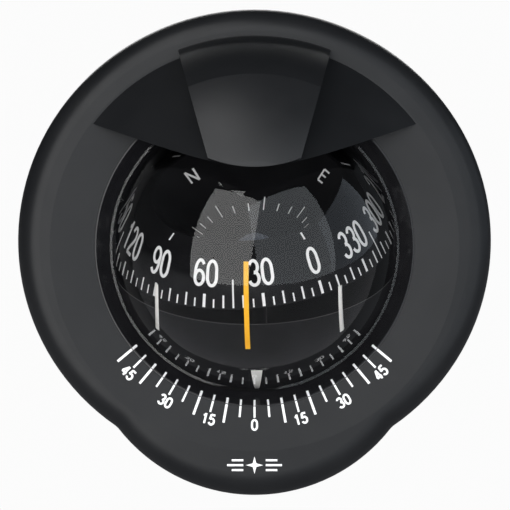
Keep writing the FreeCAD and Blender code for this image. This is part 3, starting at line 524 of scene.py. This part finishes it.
class Finish:
    """A Principled material and the few texture nodes that its look is made of."""

    def __init__(self, name, colour, roughness, **sockets):
        self.material = bpy.data.materials.new(name)
        self.material.use_nodes = True
        self.nodes = self.material.node_tree.nodes
        self.links = self.material.node_tree.links
        self.shader = self.nodes["Principled BSDF"]
        self.shader.inputs["Base Color"].default_value = (*colour, 1)
        self.shader.inputs["Roughness"].default_value = roughness
        for socket, value in sockets.items():
            self.shader.inputs[socket.replace("_", " ")].default_value = value
        self.place = self.nodes.new("ShaderNodeTexCoord").outputs["Object"]
        self.relief = None

    def add(self, kind, inputs, **settings):
        """Make a node, with values or other nodes' outputs for its inputs."""
        made = self.nodes.new(kind)
        for setting, value in settings.items():
            setattr(made, setting, value)
        for socket, value in inputs.items():
            if isinstance(value, bpy.types.NodeSocket):
                self.links.new(value, made.inputs[socket])
            else:
                made.inputs[socket].default_value = value
        return made

    def stretched(self, x, y, z):
        """Object coordinates, scaled along each axis of the housing: across, up and out of the face."""
        turn = TO_WORLD.transposed().to_euler()
        upright = self.add("ShaderNodeMapping", {"Vector": self.place, "Rotation": turn})
        scaled = self.add("ShaderNodeMapping", {"Vector": upright.outputs[0], "Scale": (x, y, z)})
        return scaled.outputs[0]

    def noise(self, size, detail, place=None):
        """Noise with features of about a size in millimetres, from 0 to 1."""
        inputs = {"Vector": place or self.place, "Scale": 1 / (size * MM), "Detail": detail}
        return self.add("ShaderNodeTexNoise", inputs).outputs["Fac"]

    def ranged(self, source, low, high, start=0.3, end=0.7):
        """Spread a texture's middle range over low to high."""
        inputs = {"Value": source, "From Min": start, "From Max": end, "To Min": low, "To Max": high}
        return self.add("ShaderNodeMapRange", inputs).outputs["Result"]

    def coloured(self, source, one, other, start=0.3, end=0.7):
        """Blend the base colour between two colours by a texture."""
        mixed = self.add("ShaderNodeMix", {"Factor": self.ranged(source, 0, 1, start, end)}, data_type="RGBA")
        colours = [socket for socket in mixed.inputs if socket.type == "RGBA"]
        colours[0].default_value = (*one, 1)
        colours[1].default_value = (*other, 1)
        result = next(socket for socket in mixed.outputs if socket.type == "RGBA")
        self.links.new(result, self.shader.inputs["Base Color"])

    def rough(self, source, low, high):
        """Let the roughness wander between two values with a texture."""
        self.links.new(self.ranged(source, low, high), self.shader.inputs["Roughness"])

    def bumped(self, height, depth, strength=1.0):
        """Add relief of a depth in millimetres. Later layers stand on earlier ones."""
        inputs = {"Height": height, "Distance": depth * MM, "Strength": strength}
        if self.relief is not None:
            inputs["Normal"] = self.relief
        self.relief = self.add("ShaderNodeBump", inputs).outputs["Normal"]
        self.links.new(self.relief, self.shader.inputs["Normal"])


def fascia_black():
    finish = Finish("fascia_black", (0.01, 0.0105, 0.0115), 0.36, IOR=1.35)
    finish.coloured(finish.noise(22, 3), (0.0085, 0.009, 0.01), (0.0115, 0.012, 0.013))
    finish.rough(finish.noise(6, 3), 0.34, 0.39)
    finish.bumped(finish.noise(0.32, 2), 0.02, 0.6)
    finish.bumped(finish.noise(1.1, 2), 0.02, 0.35)
    return finish.material


def visor_black():
    finish = Finish("visor_black", (0.009, 0.0095, 0.0105), 0.34, IOR=1.4)
    finish.coloured(finish.noise(18, 3), (0.008, 0.0085, 0.0095), (0.0105, 0.011, 0.012))
    finish.rough(finish.noise(5, 3), 0.32, 0.37)
    finish.bumped(finish.noise(0.28, 2), 0.016, 0.6)
    return finish.material


def bezel_gloss():
    finish = Finish("bezel_gloss", (0.008, 0.008, 0.009), 0.14)
    finish.coloured(finish.noise(9, 2), (0.007, 0.007, 0.008), (0.01, 0.01, 0.011))
    finish.rough(finish.noise(3, 4), 0.1, 0.2)
    finish.bumped(finish.noise(4.5, 1), 0.02, 0.25)
    return finish.material


def housing_black():
    finish = Finish("housing_black", (0.02, 0.02, 0.021), 0.55, IOR=1.38)
    finish.coloured(finish.noise(15, 4), (0.013, 0.013, 0.014), (0.02, 0.02, 0.0215))
    finish.rough(finish.noise(2.5, 4), 0.48, 0.64)
    finish.bumped(finish.noise(0.5, 3), 0.03, 0.7)
    return finish.material


def bowl_black():
    """The inside of the rear bowl, seen through the edge of the dome."""
    finish = Finish("bowl_black", (0.008, 0.008, 0.0085), 0.62, IOR=1.12)
    finish.coloured(finish.noise(12, 4), (0.007, 0.007, 0.0075), (0.01, 0.01, 0.0105))
    finish.rough(finish.noise(2.5, 4), 0.56, 0.7)
    finish.bumped(finish.noise(0.5, 3), 0.02, 0.5)
    return finish.material


def gimbal_black():
    sheen = {"Sheen_Weight": 0.15, "Sheen_Roughness": 0.4}
    finish = Finish("gimbal_black", (0.0084, 0.0084, 0.0091), 0.4, IOR=IOR_IN_LIQUID, **sheen)
    finish.coloured(finish.noise(12, 3), (0.0063, 0.0063, 0.007), (0.0112, 0.0112, 0.0126))
    finish.rough(finish.noise(2, 3), 0.36, 0.5)
    return finish.material


def card_black():
    finish = Finish("card_black", (0.007, 0.007, 0.0077), 0.5, IOR=IOR_IN_LIQUID)
    finish.coloured(finish.noise(10, 3), (0.0056, 0.0056, 0.0063), (0.0091, 0.0091, 0.0101))
    finish.rough(finish.noise(3, 3), 0.44, 0.58)
    return finish.material


def stainless():
    finish = Finish("stainless", (0.56, 0.56, 0.57), 0.28, Metallic=1.0, Anisotropic=0.4)
    lines = finish.noise(0.12, 2, finish.stretched(1, 0.06, 1))
    finish.coloured(finish.noise(3, 3), (0.5, 0.5, 0.51), (0.64, 0.64, 0.65))
    finish.rough(lines, 0.22, 0.38)
    finish.bumped(lines, 0.003, 0.6)
    return finish.material


def brass():
    finish = Finish("brass", (0.72, 0.5, 0.2), 0.3, Metallic=1.0, Anisotropic=0.3)
    finish.coloured(finish.noise(1.6, 4), (0.62, 0.41, 0.15), (0.8, 0.58, 0.27))
    finish.rough(finish.noise(0.6, 3), 0.24, 0.42)
    finish.bumped(finish.noise(0.12, 2, finish.stretched(1, 1, 0.1)), 0.003, 0.6)
    return finish.material


def magnet_steel():
    finish = Finish("magnet_steel", (0.3, 0.3, 0.31), 0.38, Metallic=1.0)
    finish.coloured(finish.noise(0.9, 4), (0.22, 0.22, 0.23), (0.4, 0.4, 0.41))
    finish.rough(finish.noise(0.5, 3), 0.3, 0.5)
    finish.bumped(finish.noise(0.15, 3), 0.008, 0.6)
    return finish.material


def ballast_lead():
    finish = Finish("ballast_lead", (0.2, 0.2, 0.215), 0.6, Metallic=0.7)
    finish.coloured(finish.noise(2.2, 5), (0.13, 0.13, 0.14), (0.28, 0.28, 0.3))
    finish.rough(finish.noise(1, 4), 0.5, 0.75)
    finish.bumped(finish.noise(0.8, 4), 0.05, 0.6)
    return finish.material


def seal_rubber():
    finish = Finish("seal_rubber", (0.022, 0.022, 0.022), 0.75)
    finish.coloured(finish.noise(5, 5), (0.016, 0.016, 0.016), (0.034, 0.034, 0.035))
    finish.rough(finish.noise(1.5, 3), 0.68, 0.86)
    finish.bumped(finish.noise(0.35, 3), 0.02, 0.7)
    return finish.material


def board_green():
    finish = Finish("board_green", (0.01, 0.12, 0.05), 0.35, Coat_Weight=0.4)
    waves = finish.add("ShaderNodeTexWave", {"Vector": finish.place, "Scale": 420, "Distortion": 2})
    tracks = waves.outputs["Fac"]
    finish.coloured(tracks, (0.008, 0.09, 0.04), (0.015, 0.16, 0.07), 0.45, 0.55)
    finish.bumped(tracks, 0.03, 0.5)
    return finish.material


def lamp_white():
    finish = Finish("lamp_white", (0.7, 0.69, 0.66), 0.5)
    finish.coloured(finish.noise(2, 4), (0.64, 0.63, 0.6), (0.75, 0.74, 0.72))
    finish.bumped(finish.noise(0.3, 2), 0.01, 0.5)
    return finish.material


def red_lens():
    finish = Finish("red_lens", (0.7, 0.012, 0.01), 0.12, Transmission_Weight=0.55, IOR=1.49)
    finish.coloured(finish.noise(1.2, 2), (0.6, 0.008, 0.008), (0.78, 0.02, 0.014))
    finish.bumped(finish.noise(0.5, 1), 0.02, 0.5)
    return finish.material


def diode_clear():
    finish = Finish("diode_clear", (0.9, 0.88, 0.84), 0.08, Transmission_Weight=0.7, IOR=1.5)
    finish.coloured(finish.noise(0.6, 2), (0.85, 0.8, 0.7), (0.93, 0.92, 0.9))
    return finish.material


def float_white():
    finish = Finish("float_white", (0.72, 0.72, 0.7), 0.45)
    finish.coloured(finish.noise(3, 4), (0.66, 0.66, 0.63), (0.77, 0.77, 0.75))
    finish.bumped(finish.noise(0.4, 3), 0.015, 0.5)
    return finish.material


def jewel_sapphire():
    finish = Finish("jewel_sapphire", (0.55, 0.62, 0.75), 0.05, Transmission_Weight=0.8, IOR=1.77)
    finish.coloured(finish.noise(1, 2), (0.5, 0.57, 0.72), (0.62, 0.68, 0.8))
    return finish.material


def pointer_white():
    finish = Finish("pointer_white", (0.84, 0.83, 0.8), 0.5)
    finish.coloured(finish.noise(1.5, 4), (0.8, 0.79, 0.75), (0.87, 0.86, 0.84))
    finish.rough(finish.noise(0.8, 3), 0.42, 0.58)
    return finish.material


def lubber_orange():
    finish = Finish("lubber_orange", (0.94, 0.47, 0.015), 0.45)
    finish.coloured(finish.noise(1.8, 4), (0.92, 0.44, 0.012), (0.97, 0.5, 0.018))
    finish.rough(finish.noise(0.8, 3), 0.38, 0.52)
    return finish.material


def printing_ink():
    finish = Finish("printing_ink", (0.88, 0.88, 0.88), 0.5)
    finish.coloured(finish.noise(0.9, 4), (0.84, 0.84, 0.84), (0.9, 0.9, 0.9))
    finish.rough(finish.noise(0.4, 2), 0.45, 0.6)
    return finish.material


def by_ray(tree, kind, shader, shader_for_kind, output):
    """Send one shader to an output, but another one for a kind of ray."""
    ray = tree.nodes.new("ShaderNodeLightPath")
    mixed = tree.nodes.new("ShaderNodeMixShader")
    tree.links.new(ray.outputs[kind], mixed.inputs[0])
    tree.links.new(shader.outputs[0], mixed.inputs[1])
    tree.links.new(shader_for_kind.outputs[0], mixed.inputs[2])
    tree.links.new(mixed.outputs[0], output)


def clear_material(name, index, gloss):
    """Clear acrylic that bends light by an index but lets lamps shine straight through. Its
    reflection comes from a barely soft coat."""
    finish = Finish(
        name,
        (1, 1, 1),
        0.0,
        Transmission_Weight=1.0,
        IOR=index,
        Specular_Tint=(0, 0, 0, 1),
        Coat_Weight=gloss,
        Coat_IOR=ACRYLIC_IOR,
        Coat_Roughness=0.035,
    )
    straight = finish.nodes.new("ShaderNodeBsdfTransparent")
    surface = finish.nodes["Material Output"].inputs["Surface"]
    by_ray(finish.material.node_tree, "Is Shadow Ray", finish.shader, straight, surface)
    return finish.material


def dome_outside():
    return clear_material("dome_acrylic", ACRYLIC_IOR, 1)


def dome_inside():
    return clear_material("dome_acrylic_in_liquid", ACRYLIC_IOR / LIQUID_IOR, 0)


FINISHES = {
    "fascia_black": fascia_black,
    "visor_black": visor_black,
    "stainless": stainless,
    "red_lens": red_lens,
    "lamp_white": lamp_white,
    "board_green": board_green,
    "diode_clear": diode_clear,
    "housing_black": housing_black,
    "bowl_black": bowl_black,
    "brass": brass,
    "seal_rubber": seal_rubber,
    "dome_clear": dome_outside,
    "bezel_gloss": bezel_gloss,
    "magnet_steel": magnet_steel,
    "gimbal_black": gimbal_black,
    "ballast_lead": ballast_lead,
    "pointer_white": pointer_white,
    "lubber_orange": lubber_orange,
    "card_black": card_black,
    "float_white": float_white,
    "jewel_sapphire": jewel_sapphire,
}


def finish_nodes():
    """Give every node of the frame the finish of its slot, but the rear bowl one that fits the liquid."""
    made = {}
    for name, piece in frame["nodes"].items():
        slot = "bowl_black" if name == "rear_bowl" else piece.data.materials[0].name
        if slot not in made:
            made[slot] = FINISHES[slot]()
        piece.data.materials[0] = made[slot]


# Studio

PALE = (0.97, 0.97, 0.97, 1)


def add_camera():
    """A long lens square to the face, a little below the compass axis."""
    view_width = 176.8  # at the height of the face
    distance = 1000
    aim = (0.17, -2.95)  # across and up from the compass axis
    data = bpy.data.cameras.new("camera")
    data.sensor_width = 36
    data.lens = data.sensor_width * distance / view_width
    camera = bpy.data.objects.new("camera", data)
    bpy.context.scene.collection.objects.link(camera)
    place = housing(*aim, FACE_HEIGHT + distance)
    camera.matrix_world = Matrix.Translation(place) @ TO_WORLD.to_4x4()
    bpy.context.scene.camera = camera


def add_lamp(name, angles, distance, size, radiance, colour=(1, 1, 1), **seen):
    """A soft panel that faces the dome, at angles to the side of the compass axis and above it."""
    data = bpy.data.lights.new(name, "AREA")
    data.shape = "RECTANGLE"
    data.size = size[0] * MM
    data.size_y = size[1] * MM
    data.energy = radiance * math.pi * data.size * data.size_y
    data.color = colour
    lamp = bpy.data.objects.new(name, data)
    bpy.context.scene.collection.objects.link(lamp)
    aside, above = (math.radians(angle) for angle in angles)
    flat = math.cos(above)
    towards = TO_WORLD @ Vector((math.sin(aside) * flat, math.sin(above), math.cos(aside) * flat))
    lamp.location = CENTRE + towards * distance * MM
    lamp.rotation_mode = "QUATERNION"
    lamp.rotation_quaternion = towards.to_track_quat("Z", "Y")
    lamp.visible_camera = False
    lamp.visible_transmission = False
    for kind, value in seen.items():
        setattr(lamp, kind, value)
    return lamp


def add_lamps():
    add_lamp("front_left", (-25.5, -2), 700, (620, 1352), 2.4)
    add_lamp("front_right", (32.5, -2), 700, (858, 1352), 1.15, (0.88, 0.94, 1))
    add_lamp("right", (88, 0), 800, (833, 1000), 0.48, (0.78, 0.88, 1))
    add_lamp("bonnet", (-20, 50), 800, (300, 200), 3)
    fill = add_lamp("fill", (0, -12), 900, (900, 900), 2.8, visible_glossy=False)
    add_lamp("rear", (180, 25), 900, (700, 500), 3)
    # Light that the dome bends on its way to the card would otherwise be lost.
    fill.data.cycles.use_multiple_importance_sampling = False


def floor_material():
    """Pale to the camera, but dim where the part reflects it."""
    material = bpy.data.materials.new("floor")
    material.use_nodes = True
    tree = material.node_tree
    tree.nodes.remove(tree.nodes["Principled BSDF"])
    dim = tree.nodes.new("ShaderNodeBsdfDiffuse")
    dim.inputs["Color"].default_value = (0.25, 0.25, 0.26, 1)
    pale = tree.nodes.new("ShaderNodeEmission")
    pale.inputs["Color"].default_value = PALE
    by_ray(tree, "Is Camera Ray", dim, pale, tree.nodes["Material Output"].inputs["Surface"])
    return material


def add_floor():
    """A wide floor under the lowest point of the part."""
    reach = 6  # metres
    builder = bmesh.new()
    bmesh.ops.create_grid(builder, x_segments=1, y_segments=1, size=reach)
    mesh = bpy.data.meshes.new("floor")
    builder.to_mesh(mesh)
    builder.free()
    mesh.materials.append(floor_material())
    floor = bpy.data.objects.new("floor", mesh)
    floor.location.z = cad_box[0].z
    bpy.context.scene.collection.objects.link(floor)


def add_surroundings():
    """A pale studio, dimmer for what the part reflects than for the camera."""
    world = bpy.data.worlds.new("studio")
    bpy.context.scene.world = world
    world.use_nodes = True
    tree = world.node_tree
    dim = tree.nodes["Background"]
    dim.inputs["Color"].default_value = (0.9, 0.95, 1, 1)
    dim.inputs["Strength"].default_value = 0.04
    pale = tree.nodes.new("ShaderNodeBackground")
    pale.inputs["Color"].default_value = PALE
    by_ray(tree, "Is Camera Ray", dim, pale, tree.nodes["World Output"].inputs["Surface"])


finish_nodes()
INK = printing_ink()
clear_dome(dome_outside(), dome_inside())
card_ticks(INK)
card_numerals(INK)
card_letters(INK)
card_well_marks(INK)
heel_scale(INK)
heel_labels(INK)
face_mark(INK)
add_camera()
add_lamps()
add_floor()
add_surroundings()
bpy.context.scene.view_settings.view_transform = "Standard"
